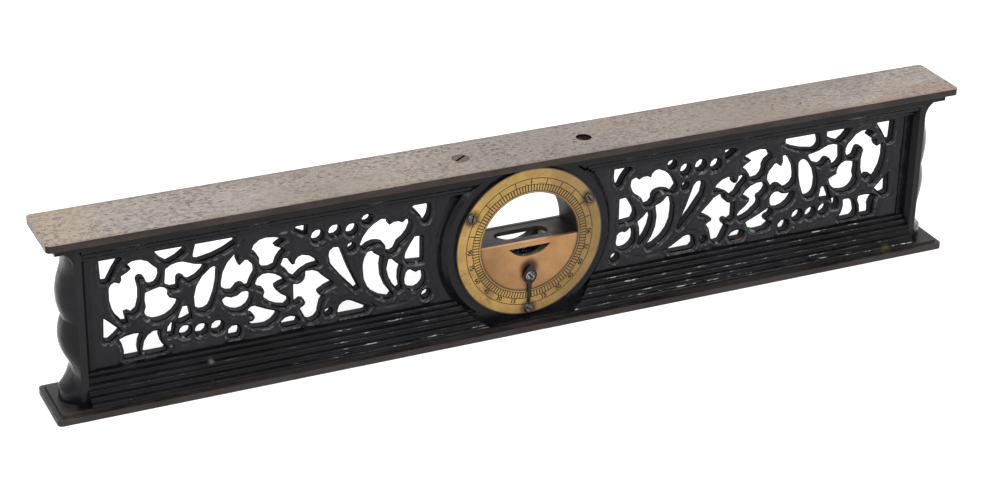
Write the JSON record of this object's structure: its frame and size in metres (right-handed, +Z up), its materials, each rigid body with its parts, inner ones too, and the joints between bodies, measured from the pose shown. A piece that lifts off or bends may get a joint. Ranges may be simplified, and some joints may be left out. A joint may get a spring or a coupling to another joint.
{
  "type": "inclinometer",
  "caption": "Machinist's inclinometer: cast iron straightedge with a pierced scroll web, and a turning drum with a level vial and pointer read against a brass dial.",
  "frame": {"origin": "middle of the foot face of the bottom rail", "axes": "+X along the rails, -Y towards the dial side, +Z up"},
  "size_m": [0.4572, 0.034, 0.0875],
  "materials": {
    "japanned_iron": "glossy black japan over cast iron, worn to brown at the rail edges",
    "dial_brass": "aged engraved brass with black filled graduations",
    "plate_brass": "smooth aged brass, warm orange tone",
    "dark_steel": "darkened steel",
    "screw_steel": "worn steel screw heads with dark slots",
    "drum_iron": "dull dark machined iron",
    "vial_glass": "clear thin glass tube",
    "plaster": "matte plaster of Paris"
  },
  "bodies": {
    "frame": {"frame_casting": "japanned_iron", "front_dial_ring": "dial_brass", "rear_dial_ring": "dial_brass", "front_ring_screws": "screw_steel", "rear_ring_screws": "screw_steel", "cap_plug_screw": "screw_steel"},
    "drum": {"drum": "drum_iron", "front_drum_plate": "plate_brass", "rear_drum_plate": "plate_brass", "pointer": "dark_steel", "pointer_screw": "screw_steel", "rear_plate_screw": "screw_steel", "level_vial": "vial_glass", "left_vial_plaster": "plaster", "right_vial_plaster": "plaster"}
  },
  "joints": [
    {"name": "drum_spin", "type": "hinge", "parent": "frame", "child": "drum", "pos_m": [0, 0, 0.04375], "axis": [0, 1, 0], "continuous": true}
  ]
}
